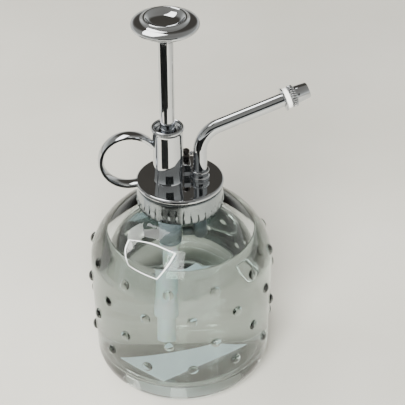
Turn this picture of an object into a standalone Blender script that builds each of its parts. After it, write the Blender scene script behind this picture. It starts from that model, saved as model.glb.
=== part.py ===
"""Glass plant mister with a hand plunger pump.

The bottle stands on the plane z = 0 with its axis on +Z. The spout points along +X and the
finger ring along -X. Every size below is in metres.
"""
import math

import bmesh
import bpy
from mathutils import Matrix, Vector

MM = 0.001
GAP = 0.3 * MM            # left between pieces that touch
TURN = 2 * math.pi

# Bottle
BOTTLE_R = 39.95 * MM     # at its widest
BOTTLE_WIDEST_Z = 59.5 * MM
SIDE_FOOT_R = 38.5 * MM   # where the side meets the heel
HEEL_R = 13.9 * MM        # radius of the rounded heel
SHOULDER_Z = 86.0 * MM    # where the shoulder meets the neck
SHOULDER_BEND = 1.19      # power of the shoulder's curve
NECK_R = 15.4 * MM
MOUTH_R = 12.9 * MM
LIP_Z = 92.6 * MM
WALL = 5.2 * MM
FLOOR_Z = 7.0 * MM        # glass thickness at the foot
PANEL_R = 23.2 * MM       # recessed panel under the foot
PANEL_Z = 0.5 * MM

# Raised glass drops, in staggered rows
DROP_R = 2.3 * MM
DROP_HEIGHT = 0.9 * MM
DROP_ROWS_Z = (64.6 * MM, 51.0 * MM, 37.6 * MM, 24.2 * MM)
DROPS_PER_ROW = 12
DROP_FIRST_ANGLE = math.radians(17)

# Screw thread between neck and nut
PITCH = 4.0 * MM
RIDGE = 1.1 * MM          # how far a ridge stands out
RIDGE_ROOT = 1.8 * MM
RIDGE_TIP = 0.9 * MM
NECK_THREAD_Z = 87.5 * MM
NUT_BORE_R = NECK_R + 2.0 * MM

# Pump head, from the plate upwards
PLATE_R = 19.0 * MM
PLATE_TOP_Z = 99.0 * MM
PLATE_UNDER_Z = 96.8 * MM
NUT_FOOT_Z = 87.0 * MM
NUT_TOP_Z = 96.4 * MM
NUT_RIBS = 36
FLANGE_R = 16.0 * MM
FLANGE_Z = 94.4 * MM
FLANGE_TOP_Z = 95.2 * MM

# Pump axis: barrel, gland, rod, cylinder and valves stand on it
PUMP_X = -4.9 * MM
BARREL_R = 6.55 * MM
BARREL_FOOT_R = 6.1 * MM
BARREL_TOP_Z = 125.5 * MM
BARREL_BEAD_R = 7.15 * MM
CYLINDER_R = 5.3 * MM
CYLINDER_NECK_R = 4.7 * MM
BORE_R = 4.0 * MM
CYLINDER_TOP_Z = 117.8 * MM
CYLINDER_FOOT_Z = 60.0 * MM
ROD_R = 3.2 * MM
ROD_RUN = 0.35 * MM       # radial room for the rod in the gland
WIPER_RUN = 0.15 * MM     # and in the soft ring
ROD_FOOT_Z = 117.4 * MM
ROD_TOP_Z = 173.3 * MM
SPIGOT_R = 2.2 * MM       # the rod's top, inside the button's hub
HUB_R = 3.45 * MM
HUB_FOOT_Z = 167.1 * MM
BUTTON_R = 14.35 * MM
BUTTON_TOP_Z = 178.0 * MM
PISTON_Z = 112.6 * MM
SPRING_R = 3.0 * MM
SPRING_WIRE_R = 0.35 * MM
SPRING_TURNS = 11
SPRING_FOOT_Z = 62.7 * MM

# Valves
BALL_R = 1.9 * MM
SEAT_HOLE_R = 1.3 * MM
SEAT_MOUTH_R = 2.3 * MM
SEAT_CONE = 1.2 * MM
BALL_RISE = 1.565 * MM    # ball centre above the cone's narrow end
INLET_CONE_Z = 50.5 * MM
OUTLET_CONE_Z = 70.2 * MM

# Suction side
HOUSING_R = 3.7 * MM
HOUSING_FOOT_Z = 35.0 * MM
HOUSING_BORE_R = 3.1 * MM
DIP_TUBE_R = 2.8 * MM
DIP_TUBE_FOOT_Z = 22.0 * MM
DIP_TUBE_TOP_Z = 48.2 * MM

# Delivery side: duct, stem and spout
STEM_X = 8.8 * MM
PORT_Z = 67.0 * MM
DUCT_R = 3.5 * MM
ARM_R = 2.6 * MM
TUBE_R = 3.0 * MM
TUBE_BORE_R = 1.5 * MM
STEM_FOOT_Z = 95.5 * MM
CORNER_Z = 121.0 * MM     # where the stem's and the spout's lines meet
BEND_R = 11.0 * MM
SPOUT_RISE = math.radians(15)
SPOUT_TURN = math.radians(11)
SPOUT_END = 43.9 * MM     # tube's end, from the corner
FLANGE_AT = 38.35 * MM    # nozzle flange, from the corner
NOZZLE_END = 50.0 * MM
NOZZLE_TEETH = 28

# Finger ring
RING_X = -21.6 * MM
RING_Z = 109.7 * MM
RING_R = 12.2 * MM
RING_THICK = 2.4 * MM
RING_WIDTH = 5.4 * MM

FINE = 40
MEDIUM = 28
SMALL = 20


def remove_everything():
    for old in list(bpy.data.objects):
        bpy.data.objects.remove(old, do_unlink=True)


def material(name, colour, metallic=0.0, roughness=0.4, transmission=0.0):
    finish = bpy.data.materials.new(name)
    finish.use_nodes = True
    shader = finish.node_tree.nodes["Principled BSDF"]
    shader.inputs["Base Color"].default_value = (*colour, 1.0)
    shader.inputs["Metallic"].default_value = metallic
    shader.inputs["Roughness"].default_value = roughness
    shader.inputs["Transmission Weight"].default_value = transmission
    return finish


def chrome(name):
    return material(name, (0.78, 0.79, 0.81), metallic=1.0, roughness=0.07)


def add_object(name, shape, finish, location=(0, 0, 0)):
    """Turn a bmesh into a named object with outward faces and smooth round sides."""
    bmesh.ops.remove_doubles(shape, verts=shape.verts, dist=0.000001)
    bmesh.ops.recalc_face_normals(shape, faces=shape.faces)
    mesh = bpy.data.meshes.new(name)
    shape.to_mesh(mesh)
    shape.free()
    mesh.shade_smooth()
    mesh.set_sharp_from_angle(angle=math.radians(35))
    if finish:
        mesh.materials.append(finish)
    piece = bpy.data.objects.new(name, mesh)
    piece.location = location
    bpy.context.collection.objects.link(piece)
    return piece


def turned_shape(outline, segments):
    """Spin an outline of (radius, height) points about Z. It closes itself unless it ends on the axis."""
    shape = bmesh.new()
    points = [shape.verts.new((radius, 0.0, height)) for radius, height in outline]
    pairs = list(zip(points, points[1:]))
    if outline[0][0] > 0:
        pairs.append((points[-1], points[0]))
    edges = [shape.edges.new(pair) for pair in pairs]
    bmesh.ops.spin(shape, geom=points + edges, cent=(0, 0, 0), axis=(0, 0, 1), angle=TURN,
                   steps=segments, use_merge=True, use_duplicate=False)
    return shape


def turned(name, outline, finish, location=(0, 0, 0), segments=MEDIUM):
    return add_object(name, turned_shape(outline, segments), finish, location)


def round_bar(name, radius, bottom, top, finish, location=(0, 0, 0), segments=MEDIUM):
    outline = [(0, bottom), (radius, bottom), (radius, top), (0, top)]
    return turned(name, outline, finish, location, segments)


def arc(centre_r, centre_z, radius, start_deg, end_deg, steps):
    points = []
    for step in range(steps + 1):
        angle = math.radians(start_deg + (end_deg - start_deg) * step / steps)
        points.append((centre_r + radius * math.cos(angle), centre_z + radius * math.sin(angle)))
    return points


def swept(name, stations, outline, finish, bore=None, location=(0, 0, 0)):
    """Carry an outline of (sideways, upward) points along stations of (place, sideways, upward)."""
    shape = bmesh.new()

    def loops(section):
        return [[shape.verts.new(place + side * u + up * v) for u, v in section]
                for place, side, up in stations]

    def skin(first, second):
        count = len(first)
        for i in range(count):
            j = (i + 1) % count
            shape.faces.new((first[i], first[j], second[j], second[i]))

    outer = loops(outline)
    for first, second in zip(outer, outer[1:]):
        skin(first, second)
    if bore:
        inner = loops(bore)
        for first, second in zip(inner, inner[1:]):
            skin(second, first)
        skin(inner[0], outer[0])
        skin(outer[-1], inner[-1])
    else:
        shape.faces.new(list(reversed(outer[0])))
        shape.faces.new(outer[-1])
    return add_object(name, shape, finish, location)


def circle(radius, segments):
    return [(radius * math.cos(TURN * i / segments), radius * math.sin(TURN * i / segments))
            for i in range(segments)]


def cutter(name, piece):
    """Hide a helper shape that only cuts or joins."""
    piece.name = name
    piece.hide_render = True
    piece.display_type = "WIRE"
    return piece


def combine(piece, helper, operation):
    step = piece.modifiers.new(operation.lower() + "_" + helper.name, "BOOLEAN")
    step.object = helper
    step.operation = operation
    step.solver = "EXACT"


def side_radius(height):
    """Outer radius of the bottle at a height between the heel and the neck."""
    if height < BOTTLE_WIDEST_Z:
        part = (height - HEEL_R) / (BOTTLE_WIDEST_Z - HEEL_R)
        return SIDE_FOOT_R + (BOTTLE_R - SIDE_FOOT_R) * math.sin(part * math.pi / 2)
    part = (height - BOTTLE_WIDEST_Z) / (SHOULDER_Z - BOTTLE_WIDEST_Z)
    angle = math.asin(min(1.0, part) ** (1 / SHOULDER_BEND))
    return NECK_R + (BOTTLE_R - NECK_R) * math.cos(angle) ** SHOULDER_BEND


def shoulder(rise, spread, neck_r, start_z, steps):
    points = []
    for step in range(1, steps + 1):
        angle = math.pi / 2 * step / steps
        radius = neck_r + spread * math.cos(angle) ** SHOULDER_BEND
        points.append((radius, start_z + rise * math.sin(angle) ** SHOULDER_BEND))
    return points


def bottle_outline():
    outer = [(0, PANEL_Z), (PANEL_R, PANEL_Z), (PANEL_R + 0.6 * MM, 0)]
    outer += arc(SIDE_FOOT_R - HEEL_R, HEEL_R, HEEL_R, -90, 0, 5)
    outer += [(side_radius(height), height) for height in (34 * MM, BOTTLE_WIDEST_Z)]
    outer += shoulder(SHOULDER_Z - BOTTLE_WIDEST_Z, BOTTLE_R - NECK_R, NECK_R, BOTTLE_WIDEST_Z, 7)
    lip = [(NECK_R, LIP_Z - 0.5 * MM), (NECK_R - 0.5 * MM, LIP_Z),
           (MOUTH_R + 0.5 * MM, LIP_Z), (MOUTH_R, LIP_Z - 0.5 * MM)]
    spread = BOTTLE_R - WALL - MOUTH_R
    inner_top = SHOULDER_Z - 2.6 * MM
    inner_wide = BOTTLE_WIDEST_Z - 5 * MM
    inner = list(reversed(shoulder(inner_top - inner_wide, spread, MOUTH_R, inner_wide, 5)))
    inner += [(MOUTH_R + spread, inner_wide), (SIDE_FOOT_R - WALL, 20 * MM)]
    heel = 10 * MM
    inner += arc(SIDE_FOOT_R - WALL - heel, FLOOR_Z + heel, heel, 0, -90, 4)
    return outer + lip + inner + [(0, FLOOR_Z)]


def thread_ridge(name, wall_r, outward, start_z, start_angle, end_angle):
    """A helical ridge that thins out to nothing at both ends; its root is sunk into the wall."""
    steps = round((end_angle - start_angle) / TURN * MEDIUM)
    fade = 4
    stations = []
    for step in range(steps + 1):
        angle = start_angle + (end_angle - start_angle) * step / steps
        full = min(1.0, step / fade, (steps - step) / fade)
        radial = Vector((math.cos(angle), math.sin(angle), 0))
        height = start_z + PITCH * angle / TURN
        out = radial * (1 if outward else -1)
        stations.append((radial * wall_r + Vector((0, 0, height)), out, full))
    shape = bmesh.new()
    rings = []
    for place, out, full in stations:
        reach = 0.15 * MM + RIDGE * full
        section = [(-0.6 * MM, -RIDGE_ROOT / 2), (reach, -RIDGE_TIP / 2), (reach, RIDGE_TIP / 2),
                   (-0.6 * MM, RIDGE_ROOT / 2)]
        rings.append([shape.verts.new(place + out * u + Vector((0, 0, v))) for u, v in section])
    for first, second in zip(rings, rings[1:]):
        for i in range(4):
            j = (i + 1) % 4
            shape.faces.new((first[i], first[j], second[j], second[i]))
    shape.faces.new(rings[0])
    shape.faces.new(rings[-1])
    return cutter(name, add_object(name, shape, None))


def glass_drops(name):
    """Flat domes on the bottle's side, twelve to a row, every second row set half a step round."""
    shape = bmesh.new()
    for row, height in enumerate(DROP_ROWS_Z):
        lean = math.atan2(side_radius(height - MM) - side_radius(height + MM), 2 * MM)
        for place in range(DROPS_PER_ROW):
            angle = DROP_FIRST_ANGLE + TURN * (place + 0.5 * (row % 2)) / DROPS_PER_ROW
            stand = Matrix.Rotation(angle, 4, "Z")
            stand @= Matrix.Translation((side_radius(height), 0, height))
            stand @= Matrix.Rotation(math.pi / 2 - lean, 4, "Y")
            rings = []
            for radius, level in ((DROP_R, -0.8 * MM), (DROP_R * 0.66, DROP_HEIGHT * 0.7)):
                rings.append([shape.verts.new(stand @ Vector((x, y, level)))
                              for x, y in circle(radius, 6)])
            crown = shape.verts.new(stand @ Vector((0, 0, DROP_HEIGHT)))
            shape.faces.new(list(reversed(rings[0])))
            for i in range(6):
                j = (i + 1) % 6
                shape.faces.new((rings[0][i], rings[0][j], rings[1][j], rings[1][i]))
                shape.faces.new((rings[1][i], rings[1][j], crown))
    return cutter(name, add_object(name, shape, None))


def make_bottle():
    glass = material("clear_glass", (0.90, 0.95, 0.93), roughness=0.02, transmission=1.0)
    bottle = turned("bottle", bottle_outline(), glass, segments=FINE)
    ridge = thread_ridge("neck_thread", NECK_R, True, NECK_THREAD_Z, 0, TURN)
    combine(bottle, ridge, "UNION")
    combine(bottle, glass_drops("glass_drops"), "UNION")


def make_collar_nut():
    """The screw skirt: a ring with a lip at its top, ribs low on its outside, a thread inside."""
    foot_r = PLATE_R - 0.1 * MM
    outline = [(NUT_BORE_R, NUT_FOOT_Z), (foot_r, NUT_FOOT_Z), (foot_r, 91.8 * MM),
               (foot_r - 0.4 * MM, 92.2 * MM), (foot_r - 0.4 * MM, NUT_TOP_Z - 0.5 * MM),
               (foot_r - 0.9 * MM, NUT_TOP_Z), (13.6 * MM, NUT_TOP_Z),
               (13.6 * MM, FLANGE_TOP_Z + 0.4 * MM), (NUT_BORE_R, FLANGE_TOP_Z + 0.4 * MM)]
    shape = turned_shape(outline, 2 * NUT_RIBS)
    for vert in shape.verts:
        angle = math.atan2(vert.co.y, vert.co.x) / TURN * 2 * NUT_RIBS
        on_skirt = vert.co.xy.length > foot_r - 0.05 * MM and vert.co.z < 92.0 * MM
        if on_skirt and round(angle) % 2:
            vert.co.xy *= (foot_r - 0.35 * MM) / foot_r
    nut = add_object("collar_nut", shape, chrome("satin_chrome"))
    ridge = thread_ridge("nut_thread", NUT_BORE_R, False, NECK_THREAD_Z - PITCH / 2,
                         0.6 * TURN, 1.55 * TURN)
    combine(nut, ridge, "UNION")


def make_gasket_and_flange():
    rubber = material("white_rubber", (0.82, 0.82, 0.80), roughness=0.6)
    turned("mouth_gasket", [(13.6 * MM, 92.9 * MM), (15.9 * MM, 92.9 * MM), (15.9 * MM, 94.1 * MM),
                            (13.6 * MM, 94.1 * MM)], rubber)
    plastic = material("grey_plastic_flange", (0.20, 0.23, 0.25), roughness=0.45)
    flange = round_bar("pump_flange", FLANGE_R, FLANGE_Z, FLANGE_TOP_Z, plastic)
    pump_hole = round_bar("flange_pump_hole", CYLINDER_NECK_R + GAP, 90 * MM, 98 * MM, None,
                          (PUMP_X, 0, 0))
    duct_hole = round_bar("flange_duct_hole", 2 * MM, 90 * MM, 98 * MM, None, (STEM_X, 0, 0), SMALL)
    combine(flange, cutter("flange_pump_hole", pump_hole), "DIFFERENCE")
    combine(flange, cutter("flange_duct_hole", duct_hole), "DIFFERENCE")


def make_head_plate():
    edge = 1.1 * MM
    outline = [(0, FLANGE_TOP_Z + GAP), (13.2 * MM, FLANGE_TOP_Z + GAP),
               (13.2 * MM, PLATE_UNDER_Z), (PLATE_R - edge, PLATE_UNDER_Z)]
    outline += arc(PLATE_R - edge, PLATE_UNDER_Z + edge, edge, -60, 90, 5)
    outline += [(0, PLATE_TOP_Z)]
    plate = turned("head_plate", outline, chrome("mirror_chrome_plate"), segments=FINE)
    pump_hole = round_bar("plate_pump_hole", CYLINDER_NECK_R + GAP, 90 * MM, 101 * MM, None,
                          (PUMP_X, 0, 0))
    stem_hole = round_bar("plate_stem_hole", TUBE_R + GAP, 90 * MM, 101 * MM, None,
                          (STEM_X, 0, 0), SMALL)
    combine(plate, cutter("plate_pump_hole", pump_hole), "DIFFERENCE")
    combine(plate, cutter("plate_stem_hole", stem_hole), "DIFFERENCE")


def make_barrel():
    foot = PLATE_TOP_Z + GAP
    bore = CYLINDER_NECK_R + GAP
    outline = [(bore, foot), (BARREL_FOOT_R, foot), (BARREL_FOOT_R, 104.5 * MM),
               (BARREL_R, 106.5 * MM), (BARREL_R, 122.9 * MM), (BARREL_BEAD_R, 123.5 * MM),
               (BARREL_BEAD_R, 124.9 * MM), (6.7 * MM, BARREL_TOP_Z), (6.2 * MM, BARREL_TOP_Z - 0.2 * MM),
               (6.2 * MM, 118.2 * MM), (bore, 118.2 * MM)]
    turned("pump_barrel", outline, chrome("mirror_chrome_barrel"), (PUMP_X, 0, 0))


def make_gland():
    """The stepped cup round the rod, and the soft ring in its groove that wipes the rod."""
    bore = ROD_R + ROD_RUN
    outline = [(bore, 118.5 * MM), (5.9 * MM, 118.5 * MM), (5.9 * MM, 124.4 * MM),
               (4.9 * MM, 122.6 * MM), (4.7 * MM, 123.2 * MM), (4.1 * MM, 123.2 * MM),
               (bore, 122.6 * MM), (bore, 121.0 * MM), (4.4 * MM, 121.0 * MM),
               (4.4 * MM, 119.2 * MM), (bore, 119.2 * MM)]
    turned("gland_nut", outline, chrome("mirror_chrome_gland"), (PUMP_X, 0, 0), SMALL)
    wiper = material("wiper_rubber", (0.06, 0.06, 0.06), roughness=0.6)
    inner = ROD_R + WIPER_RUN
    turned("rod_wiper", [(inner, 119.5 * MM), (4.1 * MM, 119.5 * MM), (4.1 * MM, 120.7 * MM),
                         (inner, 120.7 * MM)], wiper, (PUMP_X, 0, 0), SMALL)


def make_cylinder():
    plastic = material("blue_grey_plastic", (0.42, 0.48, 0.52), roughness=0.35, transmission=0.3)
    shoulder_z = FLANGE_Z - GAP
    outline = [(1.5 * MM, CYLINDER_FOOT_Z), (CYLINDER_R, CYLINDER_FOOT_Z), (CYLINDER_R, shoulder_z),
               (CYLINDER_NECK_R, shoulder_z), (CYLINDER_NECK_R, CYLINDER_TOP_Z),
               (BORE_R, CYLINDER_TOP_Z), (BORE_R, 62.3 * MM), (1.5 * MM, 62.3 * MM)]
    cylinder = turned("pump_cylinder", outline, plastic, (PUMP_X, 0, 0), SMALL)
    port = round_bar("port", 1.2 * MM, 0, 4 * MM, None, (PUMP_X + 3 * MM, 0, PORT_Z), 12)
    port.rotation_euler = (0, math.pi / 2, 0)
    combine(cylinder, cutter("port", port), "DIFFERENCE")


def make_suction_side():
    milky = material("milky_plastic", (0.85, 0.88, 0.89), roughness=0.4, transmission=0.35)
    at = (PUMP_X, 0, 0)
    top = CYLINDER_FOOT_Z - GAP
    turned("inlet_housing", [(HOUSING_BORE_R, HOUSING_FOOT_Z), (HOUSING_R - 0.2 * MM, HOUSING_FOOT_Z),
                             (HOUSING_R, HOUSING_FOOT_Z + 0.6 * MM), (HOUSING_R, 56.2 * MM),
                             (5.1 * MM, 57.6 * MM), (5.1 * MM, top), (1.4 * MM, top),
                             (1.4 * MM, 55.6 * MM), (2.6 * MM, 55.6 * MM), (2.6 * MM, 52.0 * MM),
                             (HOUSING_BORE_R, 52.0 * MM)], milky, at, SMALL)
    seat = material("seat_plastic", (0.75, 0.76, 0.74), roughness=0.4)
    turned("inlet_seat", [(SEAT_HOLE_R, DIP_TUBE_TOP_Z + GAP), (2.8 * MM, DIP_TUBE_TOP_Z + GAP),
                          (2.8 * MM, INLET_CONE_Z + SEAT_CONE), (SEAT_MOUTH_R, INLET_CONE_Z + SEAT_CONE),
                          (SEAT_HOLE_R, INLET_CONE_Z)], seat, at, SMALL)
    turned("dip_tube", [(2.0 * MM, DIP_TUBE_FOOT_Z), (DIP_TUBE_R, DIP_TUBE_FOOT_Z),
                        (DIP_TUBE_R, DIP_TUBE_TOP_Z), (2.0 * MM, DIP_TUBE_TOP_Z)], milky, at, SMALL)


def make_valve_balls():
    steel = material("ball_steel", (0.6, 0.6, 0.62), metallic=1.0, roughness=0.15)
    places = {"inlet_ball": (PUMP_X, INLET_CONE_Z), "outlet_ball": (STEM_X, OUTLET_CONE_Z)}
    for name, (across, cone_z) in places.items():
        ball = bmesh.new()
        bmesh.ops.create_uvsphere(ball, u_segments=12, v_segments=8, radius=BALL_R)
        add_object(name, ball, steel, (across, 0, cone_z + BALL_RISE))


def make_outlet_duct():
    """Elbow from the cylinder's port: an arm, a rounded corner, and a riser with its ball's seat."""
    dark = material("dark_grey_plastic", (0.10, 0.13, 0.15), roughness=0.35)
    top = FLANGE_Z - GAP
    outline = [(0, 62.9 * MM), (2.2 * MM, 63.2 * MM), (DUCT_R, 64.6 * MM), (DUCT_R, top),
               (1.4 * MM, top), (1.4 * MM, 75.2 * MM), (SEAT_MOUTH_R, 75.2 * MM),
               (SEAT_MOUTH_R, OUTLET_CONE_Z + SEAT_CONE), (SEAT_HOLE_R, OUTLET_CONE_Z),
               (SEAT_HOLE_R, 65.5 * MM), (0, 65.5 * MM)]
    duct = turned("outlet_duct", outline, dark, (STEM_X, 0, 0), SMALL)
    start = PUMP_X + CYLINDER_R + GAP
    arm = round_bar("duct_arm", ARM_R, 0, STEM_X - 1.6 * MM - start, None, (start, 0, PORT_Z), 16)
    arm.rotation_euler = (0, math.pi / 2, 0)
    combine(duct, cutter("duct_arm", arm), "UNION")
    hole = round_bar("duct_hole", 1.2 * MM, -MM, STEM_X - start, None, (start, 0, PORT_Z), 12)
    hole.rotation_euler = (0, math.pi / 2, 0)
    combine(duct, cutter("duct_hole", hole), "DIFFERENCE")


def make_plunger():
    """Button, rod, piston and seal; their origins are on the pump's axis, along which they slide."""
    at = (PUMP_X, 0, 0)
    lip = BUTTON_TOP_Z
    socket = SPIGOT_R + GAP
    outline = [(0, ROD_TOP_Z + GAP), (socket, ROD_TOP_Z + GAP), (socket, HUB_FOOT_Z),
               (HUB_R, HUB_FOOT_Z), (HUB_R, 170.6 * MM), (5.0 * MM, 171.2 * MM), (12.6 * MM, 172.7 * MM),
               (13.9 * MM, 173.3 * MM), (BUTTON_R, 174.4 * MM), (14.0 * MM, 175.3 * MM),
               (12.8 * MM, 176.0 * MM), (10.4 * MM, 176.4 * MM), (9.5 * MM, 177.6 * MM),
               (8.9 * MM, lip), (8.2 * MM, lip - 0.3 * MM), (6.0 * MM, 176.0 * MM),
               (3.0 * MM, 175.3 * MM), (0, 175.1 * MM)]
    turned("button", outline, chrome("mirror_chrome_button"), at, 36)
    turned("plunger_rod", [(0, 113.8 * MM), (1.7 * MM, 113.8 * MM), (1.7 * MM, ROD_FOOT_Z),
                           (ROD_R, ROD_FOOT_Z), (ROD_R, HUB_FOOT_Z - GAP),
                           (SPIGOT_R, HUB_FOOT_Z - GAP), (SPIGOT_R, ROD_TOP_Z), (0, ROD_TOP_Z)],
           chrome("mirror_chrome_rod"), at, SMALL)
    brass = material("piston_brass", (0.72, 0.56, 0.28), metallic=1.0, roughness=0.3)
    turned("piston", [(0, PISTON_Z), (3.7 * MM, PISTON_Z), (3.7 * MM, 113.7 * MM),
                      (2.9 * MM, 113.7 * MM), (2.9 * MM, 115.9 * MM), (3.7 * MM, 115.9 * MM),
                      (3.7 * MM, 117.1 * MM), (2.0 * MM, 117.1 * MM), (2.0 * MM, 113.5 * MM),
                      (0, 113.5 * MM)], brass, at, SMALL)
    rubber = material("seal_rubber", (0.05, 0.05, 0.05), roughness=0.6)
    turned("piston_seal", [(3.2 * MM, 114.1 * MM), (3.85 * MM, 114.1 * MM), (3.85 * MM, 115.5 * MM),
                           (3.2 * MM, 115.5 * MM)], rubber, at, SMALL)


def make_return_spring():
    steel = material("spring_steel", (0.55, 0.55, 0.57), metallic=1.0, roughness=0.25)
    foot = SPRING_FOOT_Z + SPRING_WIRE_R
    top = PISTON_Z - GAP - SPRING_WIRE_R
    per_turn = 10
    count = SPRING_TURNS * per_turn
    stations = []
    for step in range(count + 1):
        angle = TURN * step / per_turn
        radial = Vector((math.cos(angle), math.sin(angle), 0))
        height = foot + (top - foot) * step / count
        stations.append((radial * SPRING_R + Vector((0, 0, height)), radial, Vector((0, 0, 1))))
    swept("return_spring", stations, circle(SPRING_WIRE_R, 4), steel, location=(PUMP_X, 0, 0))


def make_finger_ring():
    """A ring with a ridge along its outside, cut to fit against the barrel and the plate."""
    half = RING_WIDTH / 2
    thick = RING_THICK / 2
    outline = [(-half, -0.45 * thick), (-0.55 * half, -thick), (0.55 * half, -thick),
               (half, -0.45 * thick), (half, 0.45 * thick), (0.55 * half, thick),
               (-0.55 * half, thick), (-half, 0.45 * thick)]
    first, last, steps = 25, 287, 30
    stations = []
    for step in range(steps + 1):
        angle = math.radians(first + (last - first) * step / steps)
        radial = Vector((math.cos(angle), 0, math.sin(angle)))
        stations.append((radial * RING_R, Vector((0, 1, 0)), radial))
    ring = swept("finger_ring", stations, outline, chrome("mirror_chrome_ring"),
                 location=(RING_X, 0, RING_Z))
    barrel_cut = round_bar("ring_barrel_cut", BARREL_R + GAP, 104 * MM, 127 * MM, None, (PUMP_X, 0, 0))
    plate_cut = round_bar("ring_plate_cut", PLATE_R + GAP, 90 * MM, 100.5 * MM, None, segments=FINE)
    combine(ring, cutter("ring_barrel_cut", barrel_cut), "DIFFERENCE")
    combine(ring, cutter("ring_plate_cut", plate_cut), "DIFFERENCE")


def make_bridge():
    """The small block behind the barrel's side, the dark-headed vent screw on it, a set screw."""
    block = bmesh.new()
    bmesh.ops.create_cube(block, size=1.0)
    size = Vector((3.2 * MM, 7.0 * MM, 5.7 * MM))
    bmesh.ops.scale(block, vec=size, verts=block.verts)
    bmesh.ops.bevel(block, geom=block.edges[:], offset=0.35 * MM, offset_type="OFFSET", segments=1,
                    profile=0.5, affect="EDGES", material=-1)
    middle = (3.3 * MM, 4.1 * MM, PLATE_TOP_Z + GAP + size.z / 2)
    add_object("bridge_block", block, chrome("mirror_chrome_block"), middle)
    dark = material("dark_screw", (0.10, 0.09, 0.09), metallic=0.6, roughness=0.35)
    foot = PLATE_TOP_Z + 2 * GAP + size.z
    turned("vent_screw", [(0, foot), (1.6 * MM, foot), (1.6 * MM, foot + 1.8 * MM),
                          (1.1 * MM, foot + 2.1 * MM), (1.1 * MM, foot + 2.7 * MM),
                          (1.55 * MM, foot + 3.0 * MM), (1.55 * MM, foot + 3.9 * MM),
                          (1.1 * MM, foot + 4.3 * MM), (0, foot + 4.3 * MM)], dark,
           (3.3 * MM, 5.8 * MM, 0), 12)
    screw = turned("set_screw", [(0, 0), (0.9 * MM, 0), (0.9 * MM, 0.8 * MM), (0.5 * MM, 1.3 * MM),
                                 (0, 1.4 * MM)], chrome("mirror_chrome_screw"),
                   (STEM_X - TUBE_R - GAP, 0, 111.2 * MM), 12)
    screw.rotation_euler = (0, -math.pi / 2, 0)


def spout_direction():
    level = math.cos(SPOUT_RISE)
    return Vector((level * math.cos(SPOUT_TURN), level * math.sin(SPOUT_TURN), math.sin(SPOUT_RISE)))


def spout_stations():
    """Straight up the stem, round the bend, and out along the spout."""
    outward = Vector((math.cos(SPOUT_TURN), math.sin(SPOUT_TURN), 0))
    side = Vector((-math.sin(SPOUT_TURN), math.cos(SPOUT_TURN), 0))
    corner = Vector((0, 0, CORNER_Z))
    turn = math.pi / 2 - SPOUT_RISE
    reach = BEND_R * math.tan(turn / 2)
    bend_start = corner - Vector((0, 0, reach))
    centre = bend_start + outward * BEND_R
    stations = [(Vector((0, 0, STEM_FOOT_Z)), side, outward)]
    steps = 8
    for step in range(steps + 1):
        angle = turn * step / steps
        inward = outward * math.cos(angle) - Vector((0, 0, 1)) * math.sin(angle)
        stations.append((centre - inward * BEND_R, side, inward))
    ahead = spout_direction()
    stations.append((corner + ahead * SPOUT_END, side, stations[-1][2]))
    return stations


def make_spout():
    swept("spout_tube", spout_stations(), circle(TUBE_R, 16), chrome("mirror_chrome_spout"),
          bore=circle(TUBE_BORE_R, 16), location=(STEM_X, 0, 0))
    foot = PLATE_TOP_Z + GAP
    inner = TUBE_R + GAP
    turned("spout_collar", [(inner, foot), (4.1 * MM, foot), (4.1 * MM, foot + 0.7 * MM),
                            (3.7 * MM, foot + 1.0 * MM), (3.7 * MM, foot + 2.9 * MM),
                            (4.0 * MM, foot + 3.2 * MM), (3.9 * MM, foot + 3.9 * MM),
                            (inner, foot + 3.9 * MM)], chrome("mirror_chrome_collar"),
           (STEM_X, 0, 0), SMALL)


def at_nozzle(piece):
    """Stand a piece that was turned about Z on the spout's line, with its foot at the corner."""
    piece.location = (STEM_X, 0, CORNER_Z)
    piece.rotation_euler = spout_direction().to_track_quat("Z", "Y").to_euler()


def make_nozzle():
    inner = TUBE_R + GAP
    near = FLANGE_AT
    at_nozzle(turned("nozzle_flange", [(inner, near), (5.15 * MM, near), (5.15 * MM, near + 0.7 * MM),
                                       (inner, near + 0.7 * MM)], chrome("mirror_chrome_flange"),
                     segments=SMALL))
    near += 0.7 * MM + GAP
    white = material("white_plastic", (0.90, 0.90, 0.88), roughness=0.35)
    at_nozzle(turned("nozzle_washer", [(inner, near), (4.5 * MM, near), (4.5 * MM, near + 1.8 * MM),
                                       (inner, near + 1.8 * MM)], white, segments=SMALL))
    near += 1.8 * MM + GAP
    outline = [(inner, near), (4.8 * MM, near), (4.8 * MM, near + 2.4 * MM), (3.5 * MM, near + 2.6 * MM),
               (3.2 * MM, NOZZLE_END - 0.4 * MM), (2.9 * MM, NOZZLE_END), (0.4 * MM, NOZZLE_END),
               (0.4 * MM, 48.9 * MM), (2.4 * MM, 48.9 * MM), (2.4 * MM, 44.3 * MM), (inner, 44.3 * MM)]
    shape = turned_shape(outline, 2 * NOZZLE_TEETH)
    for vert in shape.verts:
        place = math.atan2(vert.co.y, vert.co.x) / TURN * 2 * NOZZLE_TEETH
        if vert.co.xy.length > 4.7 * MM and round(place) % 2:
            vert.co.xy *= 4.45 / 4.8
    at_nozzle(add_object("nozzle_cap", shape, chrome("mirror_chrome_nozzle")))
    brass = material("core_brass", (0.72, 0.56, 0.28), metallic=1.0, roughness=0.3)
    at_nozzle(turned("swirl_core", [(0, 41.5 * MM), (1.1 * MM, 41.5 * MM), (1.1 * MM, 44.3 * MM),
                                    (1.9 * MM, 44.3 * MM), (1.9 * MM, 48.2 * MM), (0, 48.5 * MM)],
                     brass, segments=12))


def main():
    remove_everything()
    make_bottle()
    make_collar_nut()
    make_gasket_and_flange()
    make_head_plate()
    make_barrel()
    make_gland()
    make_cylinder()
    make_suction_side()
    make_valve_balls()
    make_outlet_duct()
    make_plunger()
    make_return_spring()
    make_finger_ring()
    make_bridge()
    make_spout()
    make_nozzle()


main()
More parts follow.
